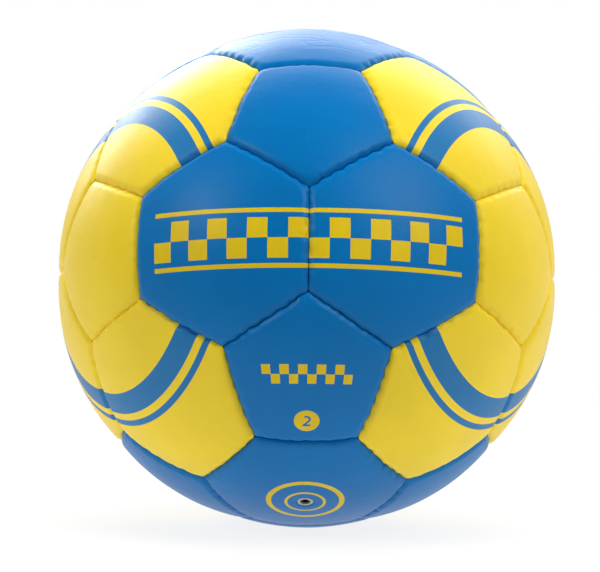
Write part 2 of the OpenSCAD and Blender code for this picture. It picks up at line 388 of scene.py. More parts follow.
# Depth and length of the shallow hollows and creases of a panel, and how creases stretch along X
HOLLOW_DEPTH = 0.10 * MM
HOLLOW_LENGTH = 22 * MM
CREASE_DEPTH = 0.03 * MM
CREASE_LENGTH = 7 * MM
CREASE_STRETCH = [0.35, 1, 1]
# Middle and swing of the hollows as shares of their depth, and how often its depth a crease can reach
HOLLOW_MIDDLE = 0.5
HOLLOW_SWING = 0.35
CREASE_MOST = 2

# How the grid's rows crowd towards the shoulder, and those of the underside towards the lip
ROW_CROWDING = 0.25
UNDER_CROWDING = 1.2
# Power by which the rows' corners grow rounder from the rim inwards
CORNER_POWER = 0.75
# Distances on the underside from the lip to the first row, and from the last row to the middle
UNDER_START = 0.4 * MM
UNDER_END = 0.8 * MM
# Height of a lip's free edge, which no stitch draws in
FREE_EDGE = 0.2 * MM
# Radius of the roll that leads into the valve's hole
HOLE_ROLL = 0.45 * MM


class PanelShape:
    """Places a grid's vertices on one panel of the ball."""

    def __init__(self, sizes, sides):
        self.sizes = sizes
        self.sides = sides
        self.ball_r = sizes.ball_d / 2
        self.edge_r = self.ball_r - sizes.crown_h
        self.side_angle = SIDE_ANGLES[sides]
        self.dome_offset = ((self.ball_r ** 2 - self.edge_r ** 2)
                            / (2 * (self.ball_r - self.edge_r * math.cos(self.side_angle))))
        self.pitch = 2 * sizes.stitch_row / (sizes.stitches - 1)
        self.lip_inset = sizes.seam_gap / 2
        self.walls = self.wall_table()

    def apothem(self, inset):
        """Distance on the plane that touches the ball, for a line that lies inset from the seam."""
        return np.tan(self.side_angle - np.arcsin(inset / self.edge_r))

    def dome(self, slope_cos):
        """Distance of the panel's dome from the ball's centre, by the cosine of the angle off its crown."""
        c, r = self.dome_offset, self.ball_r - self.dome_offset
        return c * slope_cos + np.sqrt(r ** 2 - c ** 2 * (1 - slope_cos ** 2))

    def wall_table(self):
        """Rows from the rim down the lip, up its inside and over the skin's underside.

        Each row is its inset from the seam, its corner radius, and its distance from the ball's
        centre, or how far it lies under the dome where that distance is none.
        """
        s = self.sizes
        top = self.edge_r - s.shoulder_h
        lip = self.lip_inset
        back = lip + s.cover_t
        inner_corner = s.corner_r - s.cover_t
        rows = [(lip, s.corner_r, top + (s.lip_end - top) * share, None) for share in LIP_SHARES]
        rows += [(back, inner_corner, s.lip_end, None), (back, inner_corner, top - s.cover_t / 2, None)]
        width = self.edge_r * self.side_angle - back - UNDER_START - UNDER_END
        for i in range(UNDER_ROWS):
            inset = back + UNDER_START + width * (i / UNDER_ROWS) ** UNDER_CROWDING
            rows.append((inset, None, None, s.cover_t))
        return rows

    def rows(self, grid):
        """Apothem, inset, corner radius, drop below the dome and distance from the centre, by vertex."""
        s = self.sizes
        apothem, inset, drop, corner = np.zeros((4, len(grid.row)))
        radius = np.full(len(grid.row), np.nan)
        top = grid.level == 0
        first_roll = PANEL_ROWS - SHOULDER_ROWS
        roll = top & (grid.row >= first_roll)
        t = (grid.row[roll] - first_roll) / SHOULDER_ROWS * s.shoulder_turn
        inset[roll] = self.lip_inset + s.shoulder_w * (1 - np.sin(t) / math.sin(s.shoulder_turn))
        drop[roll] = s.shoulder_h * (1 - np.cos(t)) / (1 - math.cos(s.shoulder_turn))
        apothem[roll] = self.apothem(inset[roll])
        flat = top & ~roll
        share = grid.row[flat] / first_roll
        crowded = share * (1 + ROW_CROWDING) - share ** 3 * ROW_CROWDING
        apothem[flat] = self.apothem(self.lip_inset + s.shoulder_w) * crowded
        inset[flat] = self.edge_r * (self.side_angle - np.arctan(apothem[flat]))
        for number, (row_inset, row_corner, row_radius, row_drop) in enumerate(self.walls, 1):
            here = grid.level == number
            inset[here] = row_inset
            apothem[here] = self.apothem(row_inset)
            corner[here] = (row_corner or 0) / self.edge_r
            if row_radius:
                radius[here] = row_radius
            else:
                drop[here] = row_drop
        centre = (grid.row == 0) & (grid.level > 0)
        apothem[centre] = 0
        rounded = top | (grid.level > LIP_ROWS) & (grid.level < HOLE_LEVEL)
        rim = self.apothem(self.lip_inset)
        rim_share = s.corner_r / self.edge_r / rim
        inwards = 1 - np.clip(apothem / rim, 0, 1)
        rounding = rim_share + (1 - rim_share) * inwards ** CORNER_POWER
        corner[rounded] = (apothem * rounding)[rounded]
        return apothem, inset, corner, drop, radius

    def shape_hole(self, grid, apothem, corner, drop):
        """Rolls the middle of the valve's panel down into a round hole."""
        hole = self.sizes.valve_hole_d / 2 / self.ball_r
        edge = hole + HOLE_ROLL / self.ball_r
        last_row = HOLE_ROW + HOLE_LEAD_ROWS
        outer = apothem[(grid.row == last_row) & (grid.level == 0)][0]
        for row in range(HOLE_ROW, last_row):
            here = (grid.row == row) & (grid.level == 0)
            rolled = (row - HOLE_ROW) / HOLE_ROLL_ROWS
            turn = min(rolled, 1) * math.pi / 2
            size = hole + (edge - hole) * (1 - math.cos(turn))
            if rolled > 1:
                led = (row - HOLE_ROW - HOLE_ROLL_ROWS) / (HOLE_LEAD_ROWS - HOLE_ROLL_ROWS)
                size = edge + (outer - edge) * led
            apothem[here] = size
            corner[here] = size
            drop[here] = HOLE_ROLL * (1 - math.sin(turn))
        for level in range(1, HOLE_WALL_ROWS + 1):
            here = grid.level == HOLE_LEVEL + level
            apothem[here] = hole
            corner[here] = hole
            drop[here] = HOLE_ROLL + (self.sizes.cover_t - HOLE_ROLL) * level / HOLE_WALL_ROWS

    def on_plane(self, grid, apothem, corner):
        """Place of every vertex on the touching plane, in its side's own frame: out and along."""
        half = math.pi / self.sides
        straight = (apothem - corner) * math.tan(half)
        length = np.abs(grid.along) * (straight + corner * half)
        bend = np.clip((length - straight) / np.maximum(corner, TINY), 0, half)
        out = apothem - corner + corner * np.cos(bend)
        along = np.sign(grid.along) * (np.minimum(length, straight) + corner * np.sin(bend))
        return out, along

    def beside_seam(self, angle, depth, wave, seam, side, opening):
        """How far one seam draws the leather beside it back from its line, and how far it sinks it.

        The angle is the place along the seam, and the depth is the distance in from the lip.
        """
        at, pitch = angle[:, None], self.pitch
        jitter = STITCH_JITTER * pitch * ripples(at, JITTER_STITCHES * pitch, SEEDS["jitter"] + seam)
        swing = 0.5 + 0.5 * np.cos(2 * math.pi * (angle + jitter) / pitch)
        change = ripples(at, PULL_STITCHES * pitch, SEEDS["pull_change"] + seam)
        rng = np.random.default_rng(SEEDS["pull"] + side)
        pull = rng.uniform(*PULL_RANGE) * (1 + PULL_CHANGE * change)
        gap = opening * (OPENING_LEAST + (1 - swing) * pull)
        shift = WAVE_SIZE * wave * np.exp(-depth / WAVE_FADE) + gap * np.exp(-depth / OPENING_FADE)
        sink = self.sizes.pucker * swing ** PUCKER_POWER * pull * np.exp(-(depth / PUCKER_FADE) ** 2)
        ripple = 1 + ripples(at, RIPPLE_STITCHES * pitch, SEEDS["ripple"] + side)
        return shift, sink + RIPPLE_SIZE * ripple * np.exp(-depth / RIPPLE_FADE)

    def stitched(self, grid, name, axes, seams, number, angle, inset):
        """What the seams on all sides of a panel do to it: shift from the seam and sink of each vertex."""
        shift, sink = np.zeros((2, len(inset)))
        depth = np.maximum(inset - self.lip_inset, 0)
        lipped = (grid.level <= LIP_ROWS) & (grid.row > HOLE_ROW + HOLE_ROLL_ROWS)
        for k in range(self.sides):
            here = lipped & (grid.sector == k)
            turn = 2 * math.pi * k / self.sides
            out = math.cos(turn) * axes[0] + math.sin(turn) * axes[1]
            along = math.cos(turn) * axes[1] - math.sin(turn) * axes[0]
            middle = math.cos(self.side_angle) * axes[2] + math.sin(self.side_angle) * out
            inward = unit(axes[2] - (axes[2] @ middle) * middle)
            seam, across, sense = seams.side(middle, inward, along)
            others = [n for n in CROWNS if n != name]
            beside = max(others, key=lambda n: unit(as_it_lies(CROWNS[n])) @ middle)
            opening = self.sizes.lip_opening if is_main(name) or is_main(beside) else 0
            wave = across * seams.wave(seam, angle[here] * sense, self.pitch)
            # Each panel has seven numbers for its sides, so no two sides of the ball share one
            shift[here], sink[here] = self.beside_seam(
                angle[here] * sense, depth[here], wave, seam, 7 * number + k, opening)
        fade = np.clip((1 - np.abs(grid.along)) / CORNER_HOLD, 0, 1)
        fade = fade * fade * (3 - 2 * fade)
        return shift * fade, sink * fade

    def unevenness(self, spots, number):
        """How far the skin sinks in shallow hollows and creases, at places on the ball."""
        hollows = HOLLOW_MIDDLE + HOLLOW_SWING * ripples(spots, HOLLOW_LENGTH, SEEDS["hollow"] + number)
        creases = ripples(spots * CREASE_STRETCH, CREASE_LENGTH, SEEDS["crease"] + number)
        return HOLLOW_DEPTH * np.clip(hollows, 0, 1) + CREASE_DEPTH * np.clip(creases, 0, CREASE_MOST)

    def place(self, grid, name, seams, number):
        """Places of a grid's vertices on the panel of this name and number, in the row frame."""
        axes = axes_of(name)
        apothem, inset, corner, drop, radius = self.rows(grid)
        if name == VALVE_PANEL:
            self.shape_hole(grid, apothem, corner, drop)
        u, v = self.on_plane(grid, apothem, corner)
        angle = np.arctan2(v, np.sqrt(1 + u ** 2))
        shift, sink = self.stitched(grid, name, axes, seams, number, angle, inset)
        apothem = apothem - shift * (1 + apothem ** 2) / self.edge_r
        u, v = self.on_plane(grid, apothem, corner)
        c, s = np.cos(grid.turn), np.sin(grid.turn)
        ways = unit(np.array([u * c - v * s, u * s + v * c, np.ones(len(u))]).T)
        skin = grid.level == 0
        sink[skin] += self.unevenness((ways @ axes * self.ball_r)[skin], number)
        reach = self.dome(ways[:, 2]) - drop - sink
        lip = ~np.isnan(radius)
        drawn = radius[lip] > self.sizes.lip_end + FREE_EDGE
        reach[lip] = radius[lip] - sink[lip] * drawn
        return (ways * reach[:, None]) @ axes


def new_piece(name, mesh, material, nodes):
    """Links a mesh that stands for CAD nodes and rides on the ball."""
    piece = bpy.data.objects.new(name, mesh)
    bpy.context.scene.collection.objects.link(piece)
    mesh.materials.append(material)
    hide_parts(*nodes)
    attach(piece, "root")


def dress(node, material):
    """Gives a CAD node's object a material."""
    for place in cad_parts[node].material_slots:
        place.material = material


# Inputs of a Mix node by number: its factor, its two numbers and its two colours
FACTOR, NUMBER_A, NUMBER_B, COLOUR_A, COLOUR_B = 0, 2, 3, 6, 7


def add(tree, kind, links=None, **settings):
    """Adds a shader node, sets it up, fills its inputs by name or number, returns its first output."""
    node = tree.nodes.new("ShaderNode" + kind)
    for name, value in settings.items():
        setattr(node, name, value)
    for key, value in (links or {}).items():
        if isinstance(value, bpy.types.NodeSocket):
            tree.links.new(value, node.inputs[key])
        else:
            node.inputs[key].default_value = value
    return next((o for o in node.outputs if o.enabled), node)


def new_material(name):
    """A material with an empty tree, its output and the place on the piece, in metres."""
    material = bpy.data.materials.new(name)
    material.use_nodes = True
    tree = material.node_tree
    tree.nodes.clear()
    place = add(tree, "TexCoord").node.outputs["Object"]
    return material, tree, place


def finish_material(tree, links):
    """Gives a tree its shader and its output."""
    shader = add(tree, "BsdfPrincipled", links)
    add(tree, "OutputMaterial", {"Surface": shader})


def varied(tree, colour, pattern, low, high, start=0.0, end=1.0):
    """A colour that turns from low to high brightness as a pattern goes from start to end."""
    shade = add(tree, "MapRange", {"Value": pattern, "From Min": start, "From Max": end,
                                   "To Min": low, "To Max": high})
    return add(tree, "Mix", {FACTOR: 1.0, COLOUR_A: colour, COLOUR_B: shade},
               data_type="RGBA", blend_type="MULTIPLY")


def leather(name, colour, ink=None, mask=None):
    """Polyurethane-coated microfibre, embossed and padded.

    It gives the eye an even, deep colour with a satin sheen, a fine pebble grain that breaks the
    highlights up, and the shallow creases of a panel that has been flexed.
    """
    material, tree, place = new_material(name)
    base = list(colour)
    if mask:
        print_mask = mask(tree, place)
        base = add(tree, "Mix", {FACTOR: print_mask, COLOUR_A: base, COLOUR_B: list(ink)}, data_type="RGBA")
    mottle = add(tree, "TexNoise", {"Vector": place, "Scale": 1 / (30 * MM), "Detail": 3.0})
    mottled = varied(tree, base, mottle, 0.95, 1.05, 0.3, 0.7)

    # Pebbles 1 mm wide between pinched lines, with pores: real grain is half that size, but wouldn't show
    pebbles = add(tree, "TexVoronoi", {"Vector": place, "Scale": 1 / (1.0 * MM)}, feature="SMOOTH_F1")
    pores = add(tree, "TexNoise", {"Vector": place, "Scale": 1 / (0.6 * MM), "Detail": 2.0})
    grain = add(tree, "Math", {0: pebbles, 1: pores}, operation="MULTIPLY")
    bump = add(tree, "Bump", {"Strength": 0.5, "Distance": 0.11 * MM, "Height": grain})

    # Creases run across the panels at the top, where the ball is pressed most
    along = add(tree, "Mapping", {"Vector": place, "Scale": (0.3, 1, 1)})
    folds = add(tree, "TexNoise", {"Vector": along, "Scale": 1 / (8 * MM), "Detail": 1.0, "Distortion": 0.4})
    fold = add(tree, "Math", {0: folds, 1: 0.5}, operation="SUBTRACT")
    fold = add(tree, "Math", {0: fold}, operation="ABSOLUTE")
    line = add(tree, "MapRange", {"Value": fold, "From Min": 0.0, "From Max": 0.035})
    height = add(tree, "SeparateXYZ", {0: place}).node.outputs["Z"]
    top = add(tree, "MapRange", {"Value": height, "From Min": 77 * MM, "From Max": 82 * MM,
                                 "To Min": 0.05, "To Max": 1.0})
    crease = add(tree, "Mix", {FACTOR: top, NUMBER_A: 1.0, NUMBER_B: line})
    bump = add(tree, "Bump", {"Strength": 0.7, "Distance": 0.16 * MM, "Height": crease, "Normal": bump})

    # The padding under the skin shows through as soft lumps
    lumps = add(tree, "TexNoise", {"Vector": place, "Scale": 1 / (7 * MM), "Detail": 4.0})
    bump = add(tree, "Bump", {"Strength": 0.25, "Distance": 0.5 * MM, "Height": lumps, "Normal": bump})
    rough = add(tree, "MapRange",
                {"Value": pores, "From Min": 0.3, "From Max": 0.7, "To Min": 0.36, "To Max": 0.45})
    finish_material(tree, {"Base Color": mottled, "Roughness": rough, "IOR": 1.5, "Normal": bump,
                           "Specular IOR Level": 0.19})
    return material


# Half width of an ink's soft edge: as a length, and as an angle at the ball's centre
INK_EDGE = 0.06 * MM
INK_EDGE_ANGLE = math.radians(0.045)

# Rings printed on the side panels and round the valve: middle and half width, in degrees from a crown
SIDE_RINGS = ((34.5, 2.6), (39.6, 0.75))
VALVE_RINGS = ((4.3, 0.32), (8.2, 0.6))

# The disc with the size: how far below the pattern's front it lies, and its radius
DISC_DOWN = math.radians(41.65)
DISC_R = 4.25 * MM

# The figure on it: half the width of its stroke, the radius of its bow, the height of its foot below
# its middle, and half the foot's width
STROKE_HALF = 0.36 * MM
BOW_R = 1.05 * MM
FOOT_DOWN = 1.75 * MM
FOOT_HALF = 1.25 * MM


def cut(tree, distance, soft=INK_EDGE):
    """1 where a distance is below zero and 0 above it, with a soft edge."""
    return add(tree, "MapRange",
               {"Value": distance, "From Min": -soft, "From Max": soft, "To Min": 1.0, "To Max": 0.0})


def band(tree, value, middle, half):
    """Distance of a value outside a band, below zero within it."""
    off = add(tree, "Math", {0: value, 1: middle}, operation="SUBTRACT")
    off = add(tree, "Math", {0: off}, operation="ABSOLUTE")
    return add(tree, "Math", {0: off, 1: half}, operation="SUBTRACT")


def slope_from(tree, place, crown):
    """Angle at the ball's centre from a panel's crown."""
    way = add(tree, "VectorMath", {0: place}, operation="NORMALIZE")
    cosine = add(tree, "VectorMath", {0: way, 1: unit(crown).tolist()}, operation="DOT_PRODUCT")
    cosine = cosine.node.outputs["Value"]
    return add(tree, "Math", {0: cosine}, operation="ARCCOSINE")


def rings(tree, slope, sizes):
    """Plain rings by their middle and half width, as angles at the ball's centre in degrees."""
    rim = None
    for middle, half in sizes:
        off = band(tree, slope, math.radians(middle), math.radians(half))
        rim = add(tree, "Math", {0: off, 1: off if rim is None else rim}, operation="MINIMUM")
    return cut(tree, rim, INK_EDGE_ANGLE)


def side_rings(tree, place):
    """A broad and a narrow ring round the five-sided panels of each side, front and back joined."""
    upright = add(tree, "Mapping", {"Vector": place, "Rotation": (PATTERN_TILT, 0, 0)})
    folded = add(tree, "VectorMath", {0: upright}, operation="ABSOLUTE")
    return rings(tree, slope_from(tree, folded, (GOLDEN, 1, 0)), SIDE_RINGS)


def valve_rings(tree, place):
    """A narrow and a broader ring round the valve."""
    crown = as_it_lies(CROWNS[VALVE_PANEL])
    return rings(tree, slope_from(tree, place, crown), VALVE_RINGS)


def turned_ahead(tree, place):
    """The place in the pattern's upright frame, with the back half turned round to the front.

    So the print reads the same way on both sides. Its parts are right, away from the axis, and up.
    """
    upright = add(tree, "Mapping", {"Vector": place, "Rotation": (PATTERN_TILT, 0, 0)})
    split = add(tree, "SeparateXYZ", {0: upright}).node.outputs
    side = add(tree, "Math", {0: split["Y"]}, operation="SIGN")
    left = add(tree, "Math", {0: split["X"], 1: side}, operation="MULTIPLY")
    right = add(tree, "Math", {0: left, 1: -1.0}, operation="MULTIPLY")
    away = add(tree, "Math", {0: split["Y"]}, operation="ABSOLUTE")
    return add(tree, "CombineXYZ", {"X": right, "Y": away, "Z": split["Z"]})


def chequers(tree, ahead, height, cell, columns, lines=None):
    """Two rows of chequers at a height on the ball, and a line on each side of them.

    The height and the cell are angles in degrees, and so are a line's place and half width.
    """
    cell, height = math.radians(cell), math.radians(height)
    split = add(tree, "SeparateXYZ", {0: ahead}).node.outputs
    azimuth = add(tree, "Math", {0: split["X"], 1: split["Y"]}, operation="ARCTAN2")
    length = add(tree, "VectorMath", {0: ahead}, operation="LENGTH").node.outputs["Value"]
    sine = add(tree, "Math", {0: split["Z"], 1: length}, operation="DIVIDE")
    rise = add(tree, "Math", {0: sine}, operation="ARCSINE")
    rise = add(tree, "Math", {0: rise, 1: height}, operation="SUBTRACT")
    column = add(tree, "Math", {0: azimuth, 1: cell}, operation="DIVIDE")
    row = add(tree, "Math", {0: rise, 1: cell}, operation="DIVIDE")
    spot = add(tree, "CombineXYZ", {"X": column, "Y": row, "Z": 0.5})
    squares = add(tree, "TexChecker", {"Vector": spot, "Scale": 1.0}).node.outputs["Fac"]
    width = band(tree, azimuth, 0.0, columns / 2 * cell)
    outside = add(tree, "Math", {0: width, 1: band(tree, rise, 0.0, cell)}, operation="MAXIMUM")
    inside = add(tree, "MapRange", {"Value": outside, "From Min": -2 * INK_EDGE_ANGLE, "From Max": 0.0,
                                    "To Min": 1.0, "To Max": 0.0})
    mask = add(tree, "Math", {0: squares, 1: inside}, operation="MULTIPLY")
    if lines:
        high = add(tree, "Math", {0: rise}, operation="ABSOLUTE")
        line = band(tree, high, math.radians(lines[0]), math.radians(lines[1]))
        line = add(tree, "Math", {0: width, 1: line}, operation="MAXIMUM")
        mask = add(tree, "Math", {0: mask, 1: cut(tree, line, INK_EDGE_ANGLE)}, operation="MAXIMUM")
    return mask


def front_band(tree, place):
    """Chequers between two lines, over the pair of six-sided panels at the front or back."""
    return chequers(tree, turned_ahead(tree, place), height=0, cell=4.5, columns=16, lines=(6.1, 0.5))


def numeral_two(tree, right, up):
    """Distance outside a plain figure 2, about 4 mm high, from places right of and above its middle."""
    above = add(tree, "Math", {0: up, 1: FOOT_DOWN - BOW_R}, operation="SUBTRACT")
    spot = add(tree, "CombineXYZ", {"X": right, "Y": above})
    reach = add(tree, "VectorMath", {0: spot}, operation="LENGTH").node.outputs["Value"]
    hook = band(tree, reach, BOW_R, STROKE_HALF)
    over = add(tree, "Math", {0: right, 1: above}, operation="ADD")
    under = add(tree, "Math", {0: over, 1: -1.0}, operation="MULTIPLY")
    hook = add(tree, "Math", {0: hook, 1: under}, operation="MAXIMUM")
    aside = add(tree, "Math", {0: right, 1: above}, operation="SUBTRACT")
    slant = band(tree, aside, BOW_R * math.sqrt(2), STROKE_HALF * math.sqrt(2))
    slant = add(tree, "Math", {0: slant, 1: over}, operation="MAXIMUM")
    low = add(tree, "Math", {0: -FOOT_DOWN - STROKE_HALF, 1: up}, operation="SUBTRACT")
    slant = add(tree, "Math", {0: slant, 1: low}, operation="MAXIMUM")
    foot_height = band(tree, up, -FOOT_DOWN, STROKE_HALF)
    foot = add(tree, "Math", {0: foot_height, 1: band(tree, right, 0.0, FOOT_HALF)}, operation="MAXIMUM")
    figure = add(tree, "Math", {0: hook, 1: slant}, operation="MINIMUM")
    return add(tree, "Math", {0: figure, 1: foot}, operation="MINIMUM")


def size_print(tree, place):
    """A short strip of chequers, and below it a disc with the ball's size, a plain figure 2."""
    ahead = turned_ahead(tree, place)
    strip = chequers(tree, ahead, height=-29.95, cell=2.3, columns=10)
    level = add(tree, "Mapping", {"Vector": ahead, "Rotation": (DISC_DOWN, 0, 0)})
    split = add(tree, "SeparateXYZ", {0: level}).node.outputs
    spot = add(tree, "CombineXYZ", {"X": split["X"], "Y": split["Z"]})
    reach = add(tree, "VectorMath", {0: spot}, operation="LENGTH").node.outputs["Value"]
    disc = add(tree, "Math", {0: reach, 1: DISC_R}, operation="SUBTRACT")
    figure = numeral_two(tree, split["X"], split["Z"])
    bare = add(tree, "Math", {0: figure, 1: -1.0}, operation="MULTIPLY")
    disc = cut(tree, add(tree, "Math", {0: disc, 1: bare}, operation="MAXIMUM"))
    return add(tree, "Math", {0: strip, 1: disc}, operation="MAXIMUM")


def thread_material(colours):
    """Waxed polyester thread: dark, slightly glossy, with the twist of its three strands."""
    material, tree, place = new_material("waxed_polyester_thread")
    twist = add(tree, "TexWave", {"Vector": place, "Scale": 1 / (6 * MM), "Distortion": 1.5},
                wave_type="BANDS", bands_direction="DIAGONAL")
    bump = add(tree, "Bump", {"Strength": 0.6, "Distance": 0.1 * MM, "Height": twist})
    # The colour follows the twist, darker in the grooves and lighter on the crests: painted shade and
    # painted highlight on the strands
    colour = varied(tree, list(colours.thread), twist, 0.75, 1.15)
    finish_material(tree, {"Base Color": colour, "Roughness": 0.55, "IOR": 1.5, "Normal": bump})
    return material


def cloth_material(name, code, pitch):
    """Woven cotton and polyester backing: matte, with a plain weave of threads a pitch apart."""
    material, tree, place = new_material(name)
    # At scale 1 a wave is pi / 10 long, so this makes a wave about two threads long
    scale = 1 / (2 * math.pi * pitch)
    across = add(tree, "TexWave", {"Vector": place, "Scale": scale}, bands_direction="X")
    along = add(tree, "TexWave", {"Vector": place, "Scale": scale}, bands_direction="Z")
    weave = add(tree, "Math", {0: across, 1: along}, operation="MULTIPLY")
    # The colour follows the weave, darker where the threads dip: painted shade between the threads
    colour = varied(tree, linear(code), weave, 0.8, 1.05)
    bump = add(tree, "Bump", {"Strength": 0.5, "Distance": 0.15 * MM, "Height": weave})
    finish_material(tree, {"Base Color": colour, "Roughness": 0.9, "IOR": 1.46, "Normal": bump,
                           "Sheen Weight": 0.3})
    return material


def rubber_material(name, colour, roughness):
    """Moulded rubber: dense colour, soft reflections and a faint bloom."""
    material, tree, place = new_material(name)
    bloom = add(tree, "TexNoise", {"Vector": place, "Scale": 1 / (4 * MM), "Detail": 4.0})
    bloomed = varied(tree, list(colour), bloom, 0.92, 1.1, 0.3, 0.7)
    rough = add(tree, "MapRange",
                {"Value": bloom, "To Min": roughness - 0.06, "To Max": roughness + 0.06})
    grit = add(tree, "TexNoise", {"Vector": place, "Scale": 1 / (0.4 * MM)})
    bump = add(tree, "Bump", {"Strength": 0.2, "Distance": 0.05 * MM, "Height": grit})
    finish_material(tree, {"Base Color": bloomed, "Roughness": rough, "IOR": 1.52, "Normal": bump})
    return material


class HANDBALL_OT_panels(bpy.types.Operator):
    """Makes the thirty-two leather panels with their rolled edges and lips"""
    bl_idname = "handball.panels"
    bl_label = "Make panels"

    def execute(self, context):
        sizes, colours = context.scene.handball_sizes, context.scene.handball_colours
        bare = leather("coated_leather_main", colours.main)
        inks = colours.main, colours.main_print
        printed = {"hexagon_front": leather("coated_leather_chequered", *inks, front_band),
                   "pentagon_front_lower": leather("coated_leather_size", *inks, size_print),
                   VALVE_PANEL: leather("coated_leather_valve", *inks, valve_rings)}
        side = leather("coated_leather_side", colours.side, colours.side_print, side_rings)
        shapes = {n: PanelShape(sizes, n) for n in (5, 6)}
        grids = {n: PanelGrid(n, len(shapes[n].walls)) for n in shapes}
        pierced = PanelGrid(6, len(shapes[6].walls), pierced=True)
        seams = Seams()
        for number, name in enumerate(CROWNS):
            grid = pierced if name == VALVE_PANEL else grids[sides_of(name)]
            places = shapes[grid.sides].place(grid, name, seams, number)
            mesh = grid.mesh.copy()
            mesh.name = f"leather_{name}"
            mesh.vertices.foreach_set("co", places.astype(np.float32).ravel())
            mesh.update()
            # The prints of the front are on the back too, apart from the valve's
            ahead = name.replace("_back_", "_front_")
            main = next((m for start, m in printed.items() if ahead.startswith(start)), bare)
            slot, material = ("blue_leather", main) if is_main(name) else ("yellow_leather", side)
            new_piece(f"leather_{name}", mesh, material, [name])
        if len(seams.found) != SEAM_COUNT:
            raise RuntimeError(f"{len(seams.found)} seams were found, and the ball has {SEAM_COUNT}")
        return {"FINISHED"}


class HANDBALL_OT_threads(bpy.types.Operator):
    """Finishes the thread in the seams"""
    bl_idname = "handball.threads"
    bl_label = "Finish threads"

    def execute(self, context):
        material = thread_material(context.scene.handball_colours)
        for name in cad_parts:
            if name.startswith("thread"):
                dress(name, material)
        return {"FINISHED"}


class HANDBALL_OT_linings(bpy.types.Operator):
    """Finishes the linings and the patch round the valve"""
    bl_idname = "handball.linings"
    bl_label = "Finish linings"

    def execute(self, context):
        lining = cloth_material("woven_backing_cloth", "#d9d4c6", 0.9 * MM)
        for region in REGIONS:
            dress(f"lining_{region}", lining)
        dress("valve_patch", cloth_material("patch_canvas", "#b9b3a2", 0.7 * MM))
        return {"FINISHED"}


class HANDBALL_OT_bladder(bpy.types.Operator):
    """Finishes the bladder and the valve"""
    bl_idname = "handball.bladder"
    bl_label = "Finish bladder and valve"

    def execute(self, context):
        colours = context.scene.handball_colours
        dress("bladder", rubber_material("butyl_rubber", linear("#2a2a2c"), 0.6))
        dress("valve_body", rubber_material("valve_rubber", colours.valve, 0.45))
        dress("valve_plug", rubber_material("plug_rubber", colours.plug, 0.4))
        return {"FINISHED"}


# The camera as the photograph has it: its turn to the ball's pattern, the ball's centre in
# the camera's own frame (right, ahead, up), and its lens
CAMERA_TURN = [math.radians(a) for a in (-8.86, 0.58, 0.38)]
BALL_IN_CAMERA = Vector((2.365, 1271.7, 2.554)) * MM
LENS_MM = 217.6
SENSOR_MM = 36

# Each lamp's place, width and height in metres: two softboxes at the front, two behind the ball
# and a large screen over it
LAMPS = {
    "left": ((-1.10, -0.74, 0.79), 0.4, 0.4),
    "right": ((0.98, -0.79, 0.99), 0.9, 0.9),
    "rim": ((0.25, 1.15, 0.88), 2.0, 0.8),
    "rim_left": ((-0.65, 1.25, 0.75), 1.0, 0.8),
    "overhead": ((0.0, -0.15, 1.55), 1.6, 1.6),
}
# Half the floor's width in metres
FLOOR_HALF = 4

WHITE = linear("#ffffff")
# The board in front of the ball, where no light comes through it
DARK_BOARD = linear("#7c7c7c")


def background_rays(tree):
    """1 for the rays that see the background straight or through glass, and 1 for the mirrored ones."""
    path = add(tree, "LightPath").node.outputs
    straight = add(tree, "Math", {0: path["Is Camera Ray"], 1: path["Is Transmission Ray"]},
                   operation="MAXIMUM")
    return straight, path["Is Glossy Ray"]


def board_material(settings):
    """Matt white board on a light table: pale, without gloss, and white to the camera.

    It glows under and behind the ball and not in front, so the lower front panels lie in
    shade. The ball's soft shadow shows close to it, and further off the board is all white.
    """
    material, tree, place = new_material("photo_board")
    depth = add(tree, "SeparateXYZ", {0: place}).node.outputs["Y"]
    under = add(tree, "MapRange", {"Value": depth, "From Min": -0.35, "From Max": -0.05},
                interpolation_type="SMOOTHSTEP")
    colour = add(tree, "Mix", {FACTOR: under, COLOUR_A: DARK_BOARD, COLOUR_B: list(settings.floor)},
                 data_type="RGBA")
    board = add(tree, "BsdfDiffuse", {"Color": colour})
    table = add(tree, "MapRange", {"Value": under, "To Max": settings.table})
    glow = add(tree, "Emission", {"Color": WHITE, "Strength": table})
    lit = add(tree, "AddShader", {0: board, 1: glow})
    white = add(tree, "Emission", {"Color": WHITE, "Strength": 1.0})
    reach = add(tree, "VectorMath", {0: place}, operation="LENGTH").node.outputs["Value"]
    share = add(tree, "MapRange", {"Value": reach, "From Min": 0.12, "From Max": 0.6,
                                   "To Min": 0.7, "To Max": 1.0})
    straight, mirrored = background_rays(tree)
    straight = add(tree, "Math", {0: straight, 1: share}, operation="MULTIPLY")
    mirrored = add(tree, "Math", {0: mirrored, 1: under}, operation="MULTIPLY")
    seen = add(tree, "Math", {0: straight, 1: mirrored}, operation="MAXIMUM")
    both = add(tree, "MixShader", {0: seen, 1: lit, 2: white})
    add(tree, "OutputMaterial", {"Surface": both})
    return material


def make_floor(settings):
    """A flat board under the ball."""
    bm = bmesh.new()
    bmesh.ops.create_grid(bm, x_segments=1, y_segments=1, size=FLOOR_HALF)
    bmesh.ops.translate(bm, verts=bm.verts[:], vec=(0, 0, CAD_BOX[0][2]))
    mesh = bpy.data.meshes.new("floor")
    bm.to_mesh(mesh)
    bm.free()
    floor = bpy.data.objects.new("floor", mesh)
    bpy.context.scene.collection.objects.link(floor)
    mesh.materials.append(board_material(settings))


